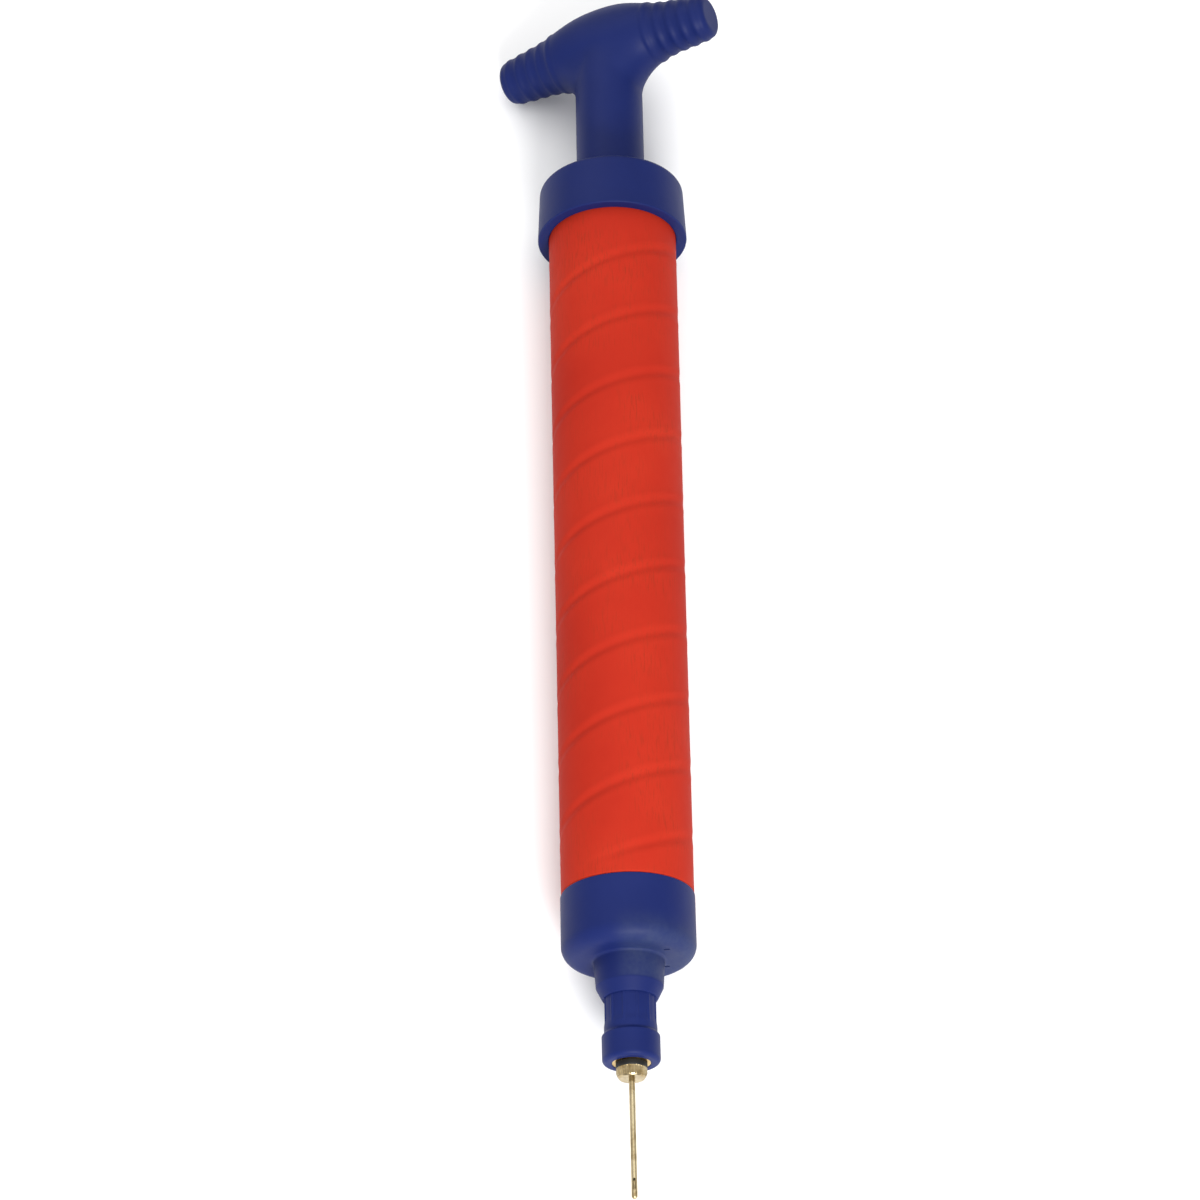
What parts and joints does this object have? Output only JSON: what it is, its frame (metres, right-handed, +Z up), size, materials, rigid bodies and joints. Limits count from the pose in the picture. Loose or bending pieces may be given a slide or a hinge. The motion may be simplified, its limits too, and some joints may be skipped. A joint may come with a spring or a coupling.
{
  "type": "ball inflation pump",
  "caption": "Hand pump for balls with a T-shaped handle, a spirally grooved barrel between two end caps, and a stepped nozzle holding a screw-in inflation needle.",
  "frame": {"origin": "centre of the underside of the object's box as it lies on its side, on the surface it lies on", "axes": "+X along the pump's axis from the needle towards the handle, +Z up"},
  "size_m": [0.3507, 0.062, 0.041],
  "materials": {
    "blue_plastic": "satin moulded",
    "red_plastic": "satin moulded",
    "natural_plastic": "natural acetal",
    "steel": "zinc plated",
    "needle_metal": "nickel plated brass",
    "brass": "turned",
    "black_rubber": "moulded"
  },
  "bodies": {
    "barrel": {"barrel_tube": "red_plastic", "top_cap": "blue_plastic", "rod_bush": "natural_plastic", "bottom_cap": "blue_plastic", "barrel_gasket": "black_rubber", "check_seat": "natural_plastic", "nozzle": "blue_plastic", "nozzle_oring": "black_rubber", "needle_insert": "brass", "check_spring": "steel"},
    "valve_ball": {"check_ball": "steel"},
    "needle_seal": {"needle_gasket": "black_rubber"},
    "needle": {"needle_hub": "needle_metal", "needle_tube": "needle_metal"},
    "stop_ring": {"rod_bumper": "black_rubber"},
    "plunger": {"handle": "blue_plastic", "plunger_rod": "natural_plastic", "piston_head": "natural_plastic", "piston_screw": "steel", "piston_washer": "steel"},
    "piston_seal": {"piston_ring": "black_rubber"}
  },
  "joints": [
    {"name": "plunger_stroke", "type": "slide", "parent": "barrel", "child": "stop_ring", "axis": [1, 0, 0], "range_m": [0, 0.162]},
    {"name": "plunger_spin", "type": "hinge", "parent": "stop_ring", "child": "plunger", "pos_m": [0.1, 0, 0.0205], "axis": [1, 0, 0], "continuous": true},
    {"name": "ring_float", "type": "slide", "parent": "plunger", "child": "piston_seal", "axis": [-1, 0, 0], "range_m": [0, 0.0012]},
    {"name": "check_lift", "type": "slide", "parent": "barrel", "child": "valve_ball", "axis": [-1, 0, 0], "range_m": [0, 0.0015], "stiffness_N_per_m": 60, "springref_m": -0.0005, "deforming": ["check_spring"]},
    {"name": "needle_travel", "type": "slide", "parent": "barrel", "child": "needle_seal", "axis": [-1, 0, 0], "range_m": [0, 0.0078]},
    {"name": "needle_turn", "type": "hinge", "parent": "needle_seal", "child": "needle", "pos_m": [-0.14, 0, 0.0205], "axis": [-1, 0, 0], "range_deg": [0, 3540]}
  ],
  "couplings": [
    {"joint": "needle_turn", "follows": "needle_travel", "rad_per_m": 7915.8}
  ]
}
